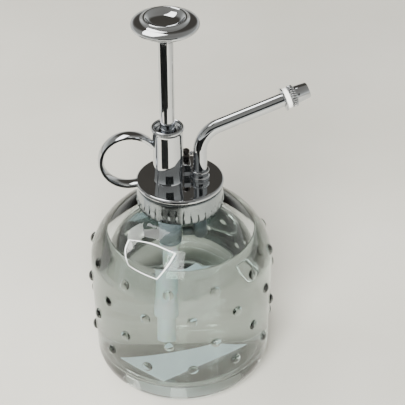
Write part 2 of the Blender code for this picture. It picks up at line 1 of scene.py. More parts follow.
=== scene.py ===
# %% [markdown]
# # A glass plant mister
#
# This notebook dresses a working model of a glass plant mister. The model's parts are already
# right in size and place, so every new piece here is built around them. Blender works in metres,
# and +Z is up. We load the model first, and later read each part's box from it. Nothing we add
# may stick out of it.

# %% Load the frame
import math

import bmesh
import bpy
from mathutils import Matrix, Vector


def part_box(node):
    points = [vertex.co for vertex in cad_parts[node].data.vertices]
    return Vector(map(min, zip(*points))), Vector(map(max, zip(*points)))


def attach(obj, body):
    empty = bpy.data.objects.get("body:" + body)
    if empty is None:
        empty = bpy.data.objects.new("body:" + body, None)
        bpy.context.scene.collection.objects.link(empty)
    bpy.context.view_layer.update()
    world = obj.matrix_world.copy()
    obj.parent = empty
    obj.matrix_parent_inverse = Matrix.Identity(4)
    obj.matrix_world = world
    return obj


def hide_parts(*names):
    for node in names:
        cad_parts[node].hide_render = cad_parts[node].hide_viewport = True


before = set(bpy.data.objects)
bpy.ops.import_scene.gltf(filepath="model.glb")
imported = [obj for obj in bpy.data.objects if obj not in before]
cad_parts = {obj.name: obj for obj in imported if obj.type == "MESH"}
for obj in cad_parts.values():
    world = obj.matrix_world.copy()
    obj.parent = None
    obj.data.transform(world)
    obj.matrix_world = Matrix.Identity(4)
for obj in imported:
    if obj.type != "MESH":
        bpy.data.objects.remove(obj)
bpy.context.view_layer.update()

# %% [markdown]
# ## Where things are
#
# Reading the places from the model keeps this script right if the model changes a little.
# Only the fine detail, such as the radius of a rounded edge, is written here as a number.

# %% Places and sizes
MM = 0.001
TURN = 2 * math.pi


def low(node, axis):
    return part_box(node)[0][axis]


def high(node, axis):
    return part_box(node)[1][axis]


def middle(node, axis):
    return (low(node, axis) + high(node, axis)) / 2


PUMP_X = middle("plunger_rod", 0)
STEM_X = middle("spout_collar", 0)
LIP_Z = high("bottle", 2)
PLATE_Z = high("head_plate", 2)
PLATE_R = high("head_plate", 0)
BARREL_TOP_Z = high("pump_barrel", 2)
BUTTON_Z = high("button", 2)
print("pump axis at x =", round(PUMP_X / MM, 2), "mm, spout stem at x =", round(STEM_X / MM, 2), "mm")

# %% [markdown]
# ## The camera
#
# The camera looks down at the mister by about a third of a right angle, from nearly straight
# in front of the plane that holds the barrel and the spout. It is a long lens from arm's
# length. We build its three axes as vectors and put them into a matrix, which is easier to
# read than three turning angles.

# %% Camera
LENS = 168.9
LOOK_DOWN = math.radians(34.05)
LOOK_ROUND = math.radians(-5.0)
TILT = math.radians(-0.645)
DISTANCE = 818.5 * MM
SHIFT_RIGHT = 9.6 * MM
SHIFT_DOWN = 10.8 * MM


def add_camera():
    right = Vector((math.cos(LOOK_ROUND), math.sin(LOOK_ROUND), 0))
    level = Vector((-math.sin(LOOK_ROUND), math.cos(LOOK_ROUND), 0))
    ahead = level * math.cos(LOOK_DOWN) - Vector((0, 0, 1)) * math.sin(LOOK_DOWN)
    up = right.cross(ahead)
    place = Vector((0, 0, PLATE_Z)) - ahead * DISTANCE + right * SHIFT_RIGHT - up * SHIFT_DOWN
    right, up = (right * math.cos(TILT) + up * math.sin(TILT),
                 up * math.cos(TILT) - right * math.sin(TILT))
    data = bpy.data.cameras.new("camera")
    data.lens = LENS
    data.clip_start = 0.01
    camera = bpy.data.objects.new("camera", data)
    bpy.context.scene.collection.objects.link(camera)
    camera.matrix_world = Matrix.Translation(place) @ Matrix((right, up, -ahead)).transposed().to_4x4()
    bpy.context.scene.camera = camera
    return camera


camera = add_camera()
print("camera", round(DISTANCE / MM), "mm from the plate, lens", camera.data.lens, "mm")

# %% [markdown]
# ## Making shapes
#
# Nearly every part of a pump is turned: an outline spun about an axis. One helper draws the
# outline, spins it and rounds its sharp rings, so no edge is ever razor sharp. Real edges
# always carry a small radius, and that radius is what catches the light on polished metal.

# %% Shape helpers
def finish_mesh(name, shape, sharp=40):
    """Make an object from a bmesh, smooth-shaded, with sharp edges kept crisp."""
    bmesh.ops.remove_doubles(shape, verts=shape.verts, dist=0.5e-6)
    bmesh.ops.recalc_face_normals(shape, faces=shape.faces)
    mesh = bpy.data.meshes.new(name)
    shape.to_mesh(mesh)
    shape.free()
    mesh.shade_smooth()
    mesh.set_sharp_from_angle(angle=math.radians(sharp))
    piece = bpy.data.objects.new(name, mesh)
    bpy.context.scene.collection.objects.link(piece)
    return piece


def spun(outline, segments=96, round_by=0.0, centre=(0, 0)):
    """Spin (radius, height) points about a vertical axis and round the sharp rings."""
    shape = bmesh.new()
    points = [shape.verts.new((radius, 0, height)) for radius, height in outline]
    pairs = list(zip(points, points[1:]))
    if outline[0][0] > 0:
        pairs.append((points[-1], points[0]))
    edges = [shape.edges.new(pair) for pair in pairs]
    bmesh.ops.spin(shape, geom=points + edges, cent=(0, 0, 0), axis=(0, 0, 1), angle=TURN,
                   steps=segments, use_merge=True, use_duplicate=False)
    bmesh.ops.remove_doubles(shape, verts=shape.verts, dist=0.5e-6)
    bmesh.ops.recalc_face_normals(shape, faces=shape.faces)
    if round_by:
        rings = [edge for edge in shape.edges
                 if len(edge.link_faces) == 2 and edge.calc_face_angle() > math.radians(25)
                 and abs(edge.verts[0].co.z - edge.verts[1].co.z) < 1e-7]
        bmesh.ops.bevel(shape, geom=rings, offset=round_by, offset_type="OFFSET", segments=3,
                        profile=0.5, affect="EDGES", material=-1, clamp_overlap=True)
    bmesh.ops.translate(shape, vec=(centre[0], centre[1], 0), verts=shape.verts)
    return shape


def turned(name, outline, segments=96, round_by=0.0, centre=(0, 0)):
    return finish_mesh(name, spun(outline, segments, round_by, centre))


def arc(centre_r, centre_z, radius, start, end, steps):
    """Points on an arc from one angle to another, in degrees."""
    return [(centre_r + radius * math.cos(math.radians(start + (end - start) * i / steps)),
             centre_z + radius * math.sin(math.radians(start + (end - start) * i / steps)))
            for i in range(steps + 1)]


print("shape helpers ready")

# %% [markdown]
# ## Effects shared by many finishes
#
# Chrome that is held in the hand is never evenly bright. Thumb grease and wiped water leave
# soft patches, and cloth leaves hairline scratches. We make each effect once as a node group
# and give it to every metal with its own strength. The groups give out only values, and each
# material keeps its own shader.

# %% Node helpers and shared groups
def new_group(name, inputs, outputs):
    group = bpy.data.node_groups.new(name, "ShaderNodeTree")
    for label, value in inputs:
        socket = group.interface.new_socket(name=label, in_out="INPUT", socket_type="NodeSocketFloat")
        socket.default_value = value
    for label in outputs:
        group.interface.new_socket(name=label, in_out="OUTPUT", socket_type="NodeSocketFloat")
    return group, group.nodes.new("NodeGroupInput"), group.nodes.new("NodeGroupOutput")


def add_node(tree, kind, links=None, **values):
    """Add a node, link its inputs from other sockets, and set its plain values."""
    node = tree.nodes.new(kind)
    for key, value in values.items():
        setattr(node, key, value)
    for key, value in (links or {}).items():
        if isinstance(value, bpy.types.NodeSocket):
            tree.links.new(value, node.inputs[key])
        else:
            node.inputs[key].default_value = value
    return node


def smudge_group():
    """Roughness that wanders between clean and greasy, from two sizes of noise."""
    tree, start, end = new_group("smudges", [("Clean", 0.04), ("Greasy", 0.14), ("Size", 60.0)],
                                 ["Roughness"])
    place = add_node(tree, "ShaderNodeTexCoord").outputs["Object"]
    broad = add_node(tree, "ShaderNodeTexNoise", {"Vector": place, "Scale": start.outputs["Size"],
                                                  "Detail": 5.0, "Roughness": 0.6, "Distortion": 0.6})
    mask = add_node(tree, "ShaderNodeMapRange", {"Value": broad.outputs["Fac"], "From Min": 0.42,
                                                 "From Max": 0.72})
    mixed = add_node(tree, "ShaderNodeMapRange", {"Value": mask.outputs["Result"],
                                                  "To Min": start.outputs["Clean"],
                                                  "To Max": start.outputs["Greasy"]})
    tree.links.new(mixed.outputs["Result"], end.inputs["Roughness"])
    return tree


def scratch_group():
    """Fine hairlines: noise squeezed hard along one direction."""
    tree, start, end = new_group("hairlines", [("Strength", 1.0)], ["Height"])
    place = add_node(tree, "ShaderNodeTexCoord").outputs["Object"]
    squeezed = add_node(tree, "ShaderNodeMapping", {"Vector": place, "Scale": (900, 900, 60),
                                                    "Rotation": (0.3, 0.2, 0.4)})
    noise = add_node(tree, "ShaderNodeTexNoise", {"Vector": squeezed.outputs["Vector"], "Scale": 1.0,
                                                  "Detail": 3.0, "Roughness": 0.7})
    mask = add_node(tree, "ShaderNodeMapRange", {"Value": noise.outputs["Fac"], "From Min": 0.58,
                                                 "From Max": 0.75})
    height = add_node(tree, "ShaderNodeMath", operation="MULTIPLY")
    tree.links.new(mask.outputs["Result"], height.inputs[0])
    tree.links.new(start.outputs["Strength"], height.inputs[1])
    tree.links.new(height.outputs[0], end.inputs["Height"])
    return tree


def grain_group():
    """The faint, even pebbling of a moulded surface."""
    tree, start, end = new_group("moulded_grain", [("Size", 900.0)], ["Height"])
    place = add_node(tree, "ShaderNodeTexCoord").outputs["Object"]
    noise = add_node(tree, "ShaderNodeTexNoise", {"Vector": place, "Scale": start.outputs["Size"],
                                                  "Detail": 4.0, "Roughness": 0.55})
    tree.links.new(noise.outputs["Fac"], end.inputs["Height"])
    return tree


SMUDGES = smudge_group()
HAIRLINES = scratch_group()
GRAIN = grain_group()
print("shared groups:", SMUDGES.name, HAIRLINES.name, GRAIN.name)

# %% [markdown]
# ## Finishes
#
# Each finish is one Principled shader. Chrome is a metal with almost no roughness. The screw
# skirt is moulded plastic that was plated, so it is duller and a little pebbled.

# %% Finish helpers
def new_finish(name, colour, **sockets):
    finish = bpy.data.materials.new(name)
    finish.use_nodes = True
    tree = finish.node_tree
    shader = tree.nodes["Principled BSDF"]
    shader.inputs["Base Color"].default_value = (*colour, 1.0)
    for label, value in sockets.items():
        shader.inputs[label.replace("_", " ")].default_value = value
    return finish, tree, shader


def use_group(tree, group, **values):
    node = tree.nodes.new("ShaderNodeGroup")
    node.node_tree = group
    for label, value in values.items():
        node.inputs[label].default_value = value
    return node


def bump(tree, shader, height, strength, distance):
    node = add_node(tree, "ShaderNodeBump", {"Height": height, "Strength": strength,
                                             "Distance": distance})
    tree.links.new(node.outputs["Normal"], shader.inputs["Normal"])
    return node


def vary_colour(tree, shader, first, second, scale, low_cut=0.35, high_cut=0.65):
    """Let the colour wander between two near shades."""
    place = add_node(tree, "ShaderNodeTexCoord").outputs["Object"]
    noise = add_node(tree, "ShaderNodeTexNoise", {"Vector": place, "Scale": scale, "Detail": 4.0})
    ramp = add_node(tree, "ShaderNodeValToRGB", {"Fac": noise.outputs["Fac"]})
    ramp.color_ramp.elements[0].position = low_cut
    ramp.color_ramp.elements[1].position = high_cut
    ramp.color_ramp.elements[0].color = (*first, 1)
    ramp.color_ramp.elements[1].color = (*second, 1)
    tree.links.new(ramp.outputs["Color"], shader.inputs["Base Color"])


def metal(name, light, dark, clean, greasy, size=60.0, scratches=0.02):
    finish, tree, shader = new_finish(name, light, Metallic=1.0)
    vary_colour(tree, shader, dark, light, 45.0)
    smudges = use_group(tree, SMUDGES, Clean=clean, Greasy=greasy, Size=size)
    tree.links.new(smudges.outputs["Roughness"], shader.inputs["Roughness"])
    lines = use_group(tree, HAIRLINES, Strength=1.0)
    bump(tree, shader, lines.outputs["Height"], scratches, 0.02 * MM)
    return finish


def plastic(name, light, dark, roughness, grain=0.08, **sockets):
    finish, tree, shader = new_finish(name, light, **sockets)
    vary_colour(tree, shader, dark, light, 60.0)
    smudges = use_group(tree, SMUDGES, Clean=roughness, Greasy=roughness + 0.12, Size=120.0)
    tree.links.new(smudges.outputs["Roughness"], shader.inputs["Roughness"])
    pebbles = use_group(tree, GRAIN, Size=1400.0)
    bump(tree, shader, pebbles.outputs["Height"], grain, 0.05 * MM)
    return finish


print("finish helpers ready")

# %% Metals and plastics
CHROME = metal("polished_chrome", (0.57, 0.585, 0.605), (0.51, 0.525, 0.55), 0.03, 0.09)
SATIN = metal("plated_skirt", (0.33, 0.36, 0.37), (0.26, 0.29, 0.30), 0.17, 0.32, 240.0, 0.25)
STEEL = metal("valve_steel", (0.60, 0.60, 0.62), (0.50, 0.50, 0.52), 0.15, 0.30)
BRASS = metal("machined_brass", (0.72, 0.56, 0.28), (0.58, 0.43, 0.20), 0.22, 0.40)
# Painted reflection: the vent screw's near-black colour stands in for the dark room mirrored by a polished
# top.
DARK_REFLECTION_METAL = metal("vent_screw_painted_reflection", (0.10, 0.09, 0.085), (0.05, 0.045, 0.04), 0.25, 0.45)
WHITE = plastic("white_washer", (0.86, 0.87, 0.85), (0.78, 0.79, 0.77), 0.28)
GREY = plastic("dark_duct", (0.050, 0.066, 0.075), (0.030, 0.040, 0.048), 0.30)
BLUE_GREY = plastic("pump_body", (0.20, 0.24, 0.27), (0.14, 0.17, 0.20), 0.25)
MILKY = plastic("milky_tube", (0.72, 0.78, 0.80), (0.62, 0.69, 0.72), 0.30, 0.04,
                Subsurface_Weight=0.25, Subsurface_Scale=0.004)
WHITE_RUBBER = plastic("soft_washer", (0.80, 0.80, 0.77), (0.68, 0.68, 0.65), 0.55, 0.3)
BLACK_RUBBER = plastic("seal_rubber", (0.030, 0.030, 0.032), (0.018, 0.018, 0.020), 0.55, 0.3)
print("metals and plastics:", len([CHROME, SATIN, STEEL, BRASS, DARK_REFLECTION_METAL, WHITE, GREY, BLUE_GREY,
                                   MILKY, WHITE_RUBBER, BLACK_RUBBER]))

# %% [markdown]
# Glass keeps plain values, and only its surface waves a little, as pressed glass does. Glass and
# water are both tinted more than the real ones. A real bottle also shows the dark corners of
# its room, which this plain scene doesn't have, and the tint stands in for them. The paper glows
# a little, for the light that the renderer loses on its way through the glass.

# %% Glass, water and paper
def make_glass():
    finish, tree, shader = new_finish("pressed_glass", (0.885, 0.93, 0.91), Roughness=0.0, IOR=1.5,
                                      Transmission_Weight=1.0)
    place = add_node(tree, "ShaderNodeTexCoord").outputs["Object"]
    wave = add_node(tree, "ShaderNodeTexNoise", {"Vector": place, "Scale": 38.0, "Detail": 1.5,
                                                 "Distortion": 0.4})
    bump(tree, shader, wave.outputs["Fac"], 0.35, 0.35 * MM)
    return finish


def make_film_edge():
    """The milky look of a cut edge: half clear, half scattering."""
    finish, tree, shader = new_finish("film_cut_edge", (0.95, 0.97, 0.97), Roughness=0.35, IOR=1.45,
                                      Transmission_Weight=0.30)
    grain = use_group(tree, GRAIN, Size=2500.0)
    bump(tree, shader, grain.outputs["Height"], 0.3, 0.05 * MM)
    return finish


GLASS = make_glass()
WATER = new_finish("water", (0.73, 0.765, 0.745), Roughness=0.0, IOR=1.333, Transmission_Weight=1.0)[0]
FILM = new_finish("clear_film", (0.97, 0.98, 0.98), Roughness=0.06, IOR=1.45, Transmission_Weight=1.0)[0]
FILM_EDGE = make_film_edge()
PAPER = plastic("label_paper", (0.80, 0.90, 0.93), (0.72, 0.83, 0.88), 0.60, 0.25,
                Emission_Color=(0.76, 0.90, 0.97, 1.0), Emission_Strength=0.75)
print("clear finishes:", GLASS.name, WATER.name, FILM.name)


def dress(piece, finish, body, *nodes, slot=None):
    """Give a piece its finish and its body, and let it stand for the nodes that it replaces."""
    piece.data.materials.clear()
    piece.data.materials.append(finish)
    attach(piece, body)
    if nodes:
        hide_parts(*nodes)
    print(piece.name, "has", len(piece.data.polygons), "faces")
    return piece


# %% [markdown]
# ## The glass bottle
#
# The bottle is thick pressed glass: a rounded heel, sides that lean out a little, and a domed
# shoulder that runs into the neck. One outline goes up the outside and down the inside, so
# one spin makes the whole wall, with both surfaces where light really bends. Under the foot is
# a round recess, so that the bottle stands on a ring and the label stays off the table.

# %% Bottle outline
SIDE_FOOT_R = 38.5 * MM
HEEL_R = 13.9 * MM
WIDEST_R = 39.95 * MM
WIDEST_Z = 59.5 * MM
SHOULDER_Z = 86.0 * MM
SHOULDER_BEND = 1.19
NECK_R = 15.4 * MM
MOUTH_R = 12.9 * MM
WALL = 5.2 * MM
FLOOR_Z = 10.0 * MM
RECESS_R = 23.2 * MM
RECESS_Z = 7.6 * MM
INNER_HEEL = 5.0 * MM


def dome(spread, neck_r, start_z, end_z, steps):
    """The shoulder's curve, from the side in towards the neck."""
    points = []
    for step in range(1, steps + 1):
        angle = math.pi / 2 * step / steps
        inward = max(0.0, math.cos(angle)) ** SHOULDER_BEND
        points.append((neck_r + spread * inward,
                       start_z + (end_z - start_z) * math.sin(angle) ** SHOULDER_BEND))
    return points


def outer_radius(height):
    """Radius of the outside at a height above the heel."""
    if height < WIDEST_Z:
        part = (height - HEEL_R) / (WIDEST_Z - HEEL_R)
        return SIDE_FOOT_R + (WIDEST_R - SIDE_FOOT_R) * math.sin(part * math.pi / 2)
    part = (height - WIDEST_Z) / (SHOULDER_Z - WIDEST_Z)
    angle = math.asin(min(1.0, part) ** (1 / SHOULDER_BEND))
    return NECK_R + (WIDEST_R - NECK_R) * math.cos(angle) ** SHOULDER_BEND


def outside():
    points = [(0, RECESS_Z), (RECESS_R - 1.5 * MM, RECESS_Z)]
    points += arc(RECESS_R - 1.5 * MM, RECESS_Z - 1.0 * MM, 1.0 * MM, 80, 10, 5)
    points += arc(RECESS_R + 0.6 * MM, 0.5 * MM, 0.5 * MM, 200, 270, 4)
    points += arc(SIDE_FOOT_R - HEEL_R, HEEL_R, HEEL_R, -90, 0, 16)
    steps = 14
    for step in range(1, steps + 1):
        height = HEEL_R + (WIDEST_Z - HEEL_R) * step / steps
        points.append((outer_radius(height), height))
    points += dome(WIDEST_R - NECK_R, NECK_R, WIDEST_Z, SHOULDER_Z, 26)
    return points + arc(NECK_R - 0.6 * MM, LIP_Z - 0.6 * MM, 0.6 * MM, 0, 90, 4)


def inside():
    """From the mouth down to the middle of the floor."""
    wide_z = WIDEST_Z - 5 * MM
    spread = WIDEST_R - WALL - MOUTH_R
    points = arc(MOUTH_R + 0.5 * MM, LIP_Z - 0.5 * MM, 0.5 * MM, 90, 180, 4)
    points += list(reversed(dome(spread, MOUTH_R, wide_z, SHOULDER_Z - 2.6 * MM, 24)))
    points += [(MOUTH_R + spread, wide_z), (SIDE_FOOT_R - WALL, FLOOR_Z + INNER_HEEL + 3 * MM)]
    points += arc(SIDE_FOOT_R - WALL - INNER_HEEL, FLOOR_Z + INNER_HEEL, INNER_HEEL, 0, -90, 12)
    return points + [(0, FLOOR_Z)]


TICKS = 150
TICK_OUT = 0.25 * MM


def press_ticks(shape):
    """Push every other line of points out, low on the heel: the ring of ticks that grips the table."""
    for vert in shape.verts:
        line = round(math.atan2(vert.co.y, vert.co.x) / TURN * TICKS * 2)
        if line % 2 == 0 and 0.9 * MM < vert.co.z < 3.5 * MM and vert.co.xy.length > RECESS_R + 3 * MM:
            vert.co.xy *= 1 + TICK_OUT / vert.co.xy.length


wall = spun(outside() + inside(), TICKS * 2)
press_ticks(wall)
bottle = finish_mesh("glass_bottle", wall)
print("bottle outline has", len(outside()), "points outside and", len(inside()), "inside")

# %% [markdown]
# ## Glass drops
#
# Four staggered rows of small glass drops stand on the side. Each one is a squashed ball, laid
# over to match the wall's slope. A Boolean union joins them to the wall: a drop that only
# overlapped it would leave a false surface inside the glass, and light would bend there twice.

# %% Drops joined to the wall
DROP_ROWS_Z = (64.6 * MM, 51.0 * MM, 37.6 * MM, 24.2 * MM)
DROPS_PER_ROW = 12
DROP_FIRST = math.radians(17)
DROP_R = 2.4 * MM
DROP_HEIGHT = 1.5 * MM


def add_drops():
    shape = bmesh.new()
    for row, height in enumerate(DROP_ROWS_Z):
        lean = math.atan2(outer_radius(height - MM) - outer_radius(height + MM), 2 * MM)
        for place in range(DROPS_PER_ROW):
            angle = DROP_FIRST + TURN * (place + 0.5 * (row % 2)) / DROPS_PER_ROW
            stand = Matrix.Rotation(angle, 4, "Z")
            stand @= Matrix.Translation((outer_radius(height), 0, height))
            stand @= Matrix.Rotation(math.pi / 2 - lean, 4, "Y")
            stand @= Matrix.Diagonal((1, 1, DROP_HEIGHT / DROP_R, 1))
            bmesh.ops.create_uvsphere(shape, u_segments=20, v_segments=12, radius=DROP_R, matrix=stand)
    return finish_mesh("drops", shape)


def join(piece, other, operation="UNION"):
    """Boolean union or cut, applied, so that the other shape can be removed."""
    boolean = piece.modifiers.new("boolean", "BOOLEAN")
    boolean.object = other
    boolean.operation = operation
    boolean.solver = "EXACT"
    graph = bpy.context.evaluated_depsgraph_get()
    mesh = bpy.data.meshes.new_from_object(piece.evaluated_get(graph))
    piece.modifiers.clear()
    piece.data = mesh
    bpy.data.objects.remove(other)
    mesh.set_sharp_from_angle(angle=math.radians(30))


join(bottle, add_drops())
dress(bottle, GLASS, "bottle", "bottle", slot="clear_glass")

# %% [markdown]
# ## The water
#
# Water touches the glass all over, with no air between. We let its skin reach a hair into the
# wall: a ray then meets the water before it leaves the glass, and the two bends together are
# just what the real glass-to-water surface does. Left apart, the gap would mirror like foil.

# %% Water
WATER_Z = 70.0 * MM
INTO_WALL = 0.12 * MM


def inner_radius(height):
    """Radius of the inside, read from the outline between its points."""
    points = [(z, r) for r, z in inside()]
    for (z1, r1), (z2, r2) in zip(points, points[1:]):
        if z2 <= height <= z1 and z1 > z2:
            return r2 + (r1 - r2) * (height - z2) / (z1 - z2)
    return 0.0


def water_outline():
    points = [(r + INTO_WALL, z) for r, z in reversed(inside()) if r > 0 and z < WATER_Z - 2 * MM]
    points = [(0, FLOOR_Z - INTO_WALL)] + [(r, z - INTO_WALL if z < 14 * MM else z) for r, z in points]
    edge = inner_radius(WATER_Z)
    climb = [(edge + INTO_WALL, WATER_Z), (edge + 0.02 * MM, WATER_Z + 0.9 * MM),
             (edge - 0.5 * MM, WATER_Z + 0.35 * MM), (edge - 1.3 * MM, WATER_Z + 0.08 * MM),
             (edge - 2.6 * MM, WATER_Z)]
    return points + climb + [(0, WATER_Z)]


water = turned("water_fill", water_outline(), 128)
dress(water, WATER, "bottle")

# %% [markdown]
# ## The screw skirt
#
# The skirt is a nut: a ring with a lip at its top and thin upright ribs low on its side, for
# grip. We spin its outline with many steps and then pull the ribs out of the wall.

# %% Skirt
RIBS = 36
STEPS_PER_RIB = 10
RIB_OUT = 0.4 * MM
NUT_FOOT_Z = low("collar_nut", 2)
NUT_TOP_Z = high("collar_nut", 2)
NUT_R = 18.55 * MM
NUT_BORE_R = 17.4 * MM


def skirt_outline():
    foot = arc(NUT_R - 0.3 * MM, NUT_FOOT_Z + 0.3 * MM, 0.3 * MM, -90, 0, 3)
    rib_rows = [(NUT_R, NUT_FOOT_Z + dz * MM) for dz in (0.6, 0.9, 3.9, 4.2)]
    top = arc(NUT_R - 0.6 * MM, NUT_TOP_Z - 0.6 * MM, 0.6 * MM, 0, 90, 4)
    return ([(NUT_BORE_R, NUT_FOOT_Z)] + foot + rib_rows + [(NUT_R, NUT_TOP_Z - 1.6 * MM)] + top
            + [(13.6 * MM, NUT_TOP_Z), (13.6 * MM, 95.6 * MM), (NUT_BORE_R, 95.6 * MM)])


def add_skirt():
    shape = spun(skirt_outline(), RIBS * STEPS_PER_RIB)
    for vert in shape.verts:
        step = round(math.atan2(vert.co.y, vert.co.x) / TURN * RIBS * STEPS_PER_RIB) % STEPS_PER_RIB
        if step == 0 and vert.co.xy.length > NUT_R - 0.01 * MM:
            height = vert.co.z - NUT_FOOT_Z
            if 0.75 * MM < height < 4.0 * MM:
                vert.co.xy *= (NUT_R + RIB_OUT) / NUT_R
    return finish_mesh("screw_skirt", shape, 50)


dress(add_skirt(), SATIN, "collar", "collar_nut", slot="satin_chrome")

# %% [markdown]
# ## The plate
#
# The plate is the mirror that the whole pump stands on. Its rim is a full round, and under it
# a step leaves the dark line that parts it from the skirt. Two Boolean cuts let the pump and
# the duct pass, because the rod goes down through the plate at every stroke.

# %% Plate
def add_plate():
    rim = 1.1 * MM
    under = PLATE_Z - 2.2 * MM
    outline = [(0, 95.5 * MM), (13.2 * MM, 95.5 * MM), (13.2 * MM, under), (PLATE_R - rim, under)]
    outline += arc(PLATE_R - rim, PLATE_Z - rim, rim, -90, 90, 12)
    outline += [(PLATE_R - 2.2 * MM, PLATE_Z), (0, PLATE_Z)]
    plate = turned("mirror_plate", outline, 128)
    for x, hole_r in ((PUMP_X, 5.0 * MM), (STEM_X, 3.8 * MM)):
        hole = [(0, 90 * MM), (hole_r, 90 * MM), (hole_r, 101 * MM), (0, 101 * MM)]
        join(plate, turned("hole", hole, 48, centre=(x, 0)), "DIFFERENCE")
    return plate


dress(add_plate(), CHROME, "head", "head_plate", slot="mirror_chrome")

# %% [markdown]
# ## Barrel, gland and rod
#
# The barrel tapers a little at its foot and carries a bead at its mouth. Inside the mouth sits
# the gland, a stepped cup round the rod. The rod is a plain polished bar.

# %% Barrel, gland and rod
ROD_R = 3.2 * MM


def add_barrel():
    foot = PLATE_Z - 0.05 * MM
    outline = [(5.0 * MM, foot), (6.3 * MM, foot), (6.1 * MM, foot + 0.5 * MM), (6.1 * MM, 104.0 * MM)]
    outline += [(6.25 * MM, 105.5 * MM), (6.5 * MM, 107.5 * MM), (6.55 * MM, 109.0 * MM)]
    outline += [(6.55 * MM, BARREL_TOP_Z - 3.1 * MM), (6.62 * MM, BARREL_TOP_Z - 2.4 * MM)]
    outline += arc(6.25 * MM, BARREL_TOP_Z - 0.9 * MM, 0.9 * MM, -35, 90, 10)
    outline += [(5.95 * MM, BARREL_TOP_Z - 0.2 * MM), (5.95 * MM, 118.2 * MM), (5.0 * MM, 118.2 * MM)]
    return turned("barrel", outline, 96, centre=(PUMP_X, 0))


def add_gland():
    top = BARREL_TOP_Z
    outline = [(3.5 * MM, 118.5 * MM), (5.9 * MM, 118.5 * MM), (5.9 * MM, top - 0.9 * MM),
               (5.1 * MM, top - 2.3 * MM), (4.9 * MM, top - 2.4 * MM), (4.75 * MM, top - 1.6 * MM),
               (4.2 * MM, top - 1.4 * MM), (3.8 * MM, top - 1.8 * MM), (3.5 * MM, top - 2.2 * MM)]
    return turned("gland", outline, 96, 0.15 * MM, centre=(PUMP_X, 0))


def add_rod():
    foot, top = low("plunger_rod", 2), high("plunger_rod", 2)
    shoulder_z = 166.8 * MM
    outline = [(0, foot), (1.7 * MM, foot), (1.7 * MM, foot + 3.6 * MM), (ROD_R, foot + 3.6 * MM),
               (ROD_R, shoulder_z), (2.2 * MM, shoulder_z), (2.2 * MM, top), (0, top)]
    return turned("rod", outline, 64, 0.1 * MM, centre=(PUMP_X, 0))


dress(add_barrel(), CHROME, "head", "pump_barrel", slot="mirror_chrome")
dress(add_gland(), CHROME, "head", "gland_nut", slot="mirror_chrome")
dress(add_rod(), CHROME, "plunger", "plunger_rod", slot="mirror_chrome")

# %% [markdown]
# ## The thumb button
#
# The button is a flat mushroom: a rolled outer rim, a raised lip and a dish for the thumb. The
# outline is a short list of points, close together where it turns, so the rim reads as one soft
# ring after the spin.

# %% Button
def add_button():
    top = BUTTON_Z
    under = [(0, -4.4), (2.5, -4.4), (2.5, -10.9), (3.45, -10.9), (3.45, -8.2), (3.75, -7.4), (5.0, -6.8),
             (9.0, -5.9), (12.4, -5.2), (13.6, -4.75)]
    rim = [(14.15, -4.2), (14.35, -3.6), (14.2, -3.0), (13.8, -2.5), (13.1, -2.1), (12.2, -1.75),
           (11.2, -1.5), (10.4, -1.3), (9.95, -1.0)]
    dish = [(9.6, -0.45), (9.3, -0.12), (8.9, 0.0), (8.5, -0.12), (8.1, -0.5), (7.4, -1.2), (6.4, -1.9),
            (5.0, -2.45), (3.0, -2.8), (1.5, -2.9), (0, -2.92)]
    outline = [(radius * MM, top + drop * MM) for radius, drop in under + rim + dish]
    return turned("thumb_button", outline, 128, centre=(PUMP_X, 0))


dress(add_button(), CHROME, "plunger", "button", slot="mirror_chrome")

# %% [markdown]
# ## The finger ring
#
# The ring is a flat-sided bar bent into a loop. We draw its section once, as eleven points, and
# spin it about the loop's centre. Its ends run a little into the barrel and the plate, as
# brazed ends do.

# %% Finger ring
RING_X = -21.6 * MM
RING_Z = 109.7 * MM
RING_R = 12.2 * MM
RING_HALF_WIDTH = 2.7 * MM
RING_HALF_THICK = 1.2 * MM


def add_ring():
    shape = bmesh.new()
    first, last = math.radians(33), math.radians(286)
    section = [(-1, -0.45), (-0.7, -0.85), (0, -1), (0.7, -0.85), (1, -0.45),
               (1, 0.45), (0.7, 0.8), (0.12, 1), (-0.12, 1), (-0.7, 0.8), (-1, 0.45)]
    points = [shape.verts.new((RING_R + v * RING_HALF_THICK, u * RING_HALF_WIDTH, 0)) for u, v in section]
    edges = [shape.edges.new((first_point, next_point))
             for first_point, next_point in zip(points, points[1:] + points[:1])]
    bmesh.ops.rotate(shape, cent=(0, 0, 0), matrix=Matrix.Rotation(-first, 3, "Y"), verts=shape.verts)
    bmesh.ops.spin(shape, geom=points + edges, cent=(0, 0, 0), axis=(0, -1, 0), angle=last - first,
                   steps=72, use_merge=False, use_duplicate=False)
    bmesh.ops.holes_fill(shape, edges=[edge for edge in shape.edges if edge.is_boundary], sides=0)
    bmesh.ops.translate(shape, vec=(RING_X, 0, RING_Z), verts=shape.verts)
    return finish_mesh("loop", shape, 30)


dress(add_ring(), CHROME, "head", "finger_ring", slot="mirror_chrome")

# %% [markdown]
# ## The spout
#
# The spout is a tube that stands on the plate, bends, and runs out. A ring of points is
# extruded up the stem, spun round the bend and extruded again, which is how a tube bender
# makes the real one.

# %% Spout tube
SPOUT_RISE = math.radians(15)
SPOUT_TURN = math.radians(11)
CORNER_Z = 121.0 * MM
BEND_R = 11.0 * MM
TUBE_R = 3.0 * MM
TUBE_BORE_R = 1.5 * MM
SPOUT_END = 43.9 * MM


def spout_ahead():
    level = math.cos(SPOUT_RISE)
    return Vector((level * math.cos(SPOUT_TURN), level * math.sin(SPOUT_TURN), math.sin(SPOUT_RISE)))


def push(shape, edges, vector):
    """Extrude a loop of edges and move the new loop."""
    made = bmesh.ops.extrude_edge_only(shape, edges=edges)["geom"]
    verts = [item for item in made if isinstance(item, bmesh.types.BMVert)]
    bmesh.ops.translate(shape, vec=vector, verts=verts)
    return [item for item in made if isinstance(item, bmesh.types.BMEdge)
            and all(vert in verts for vert in item.verts)]


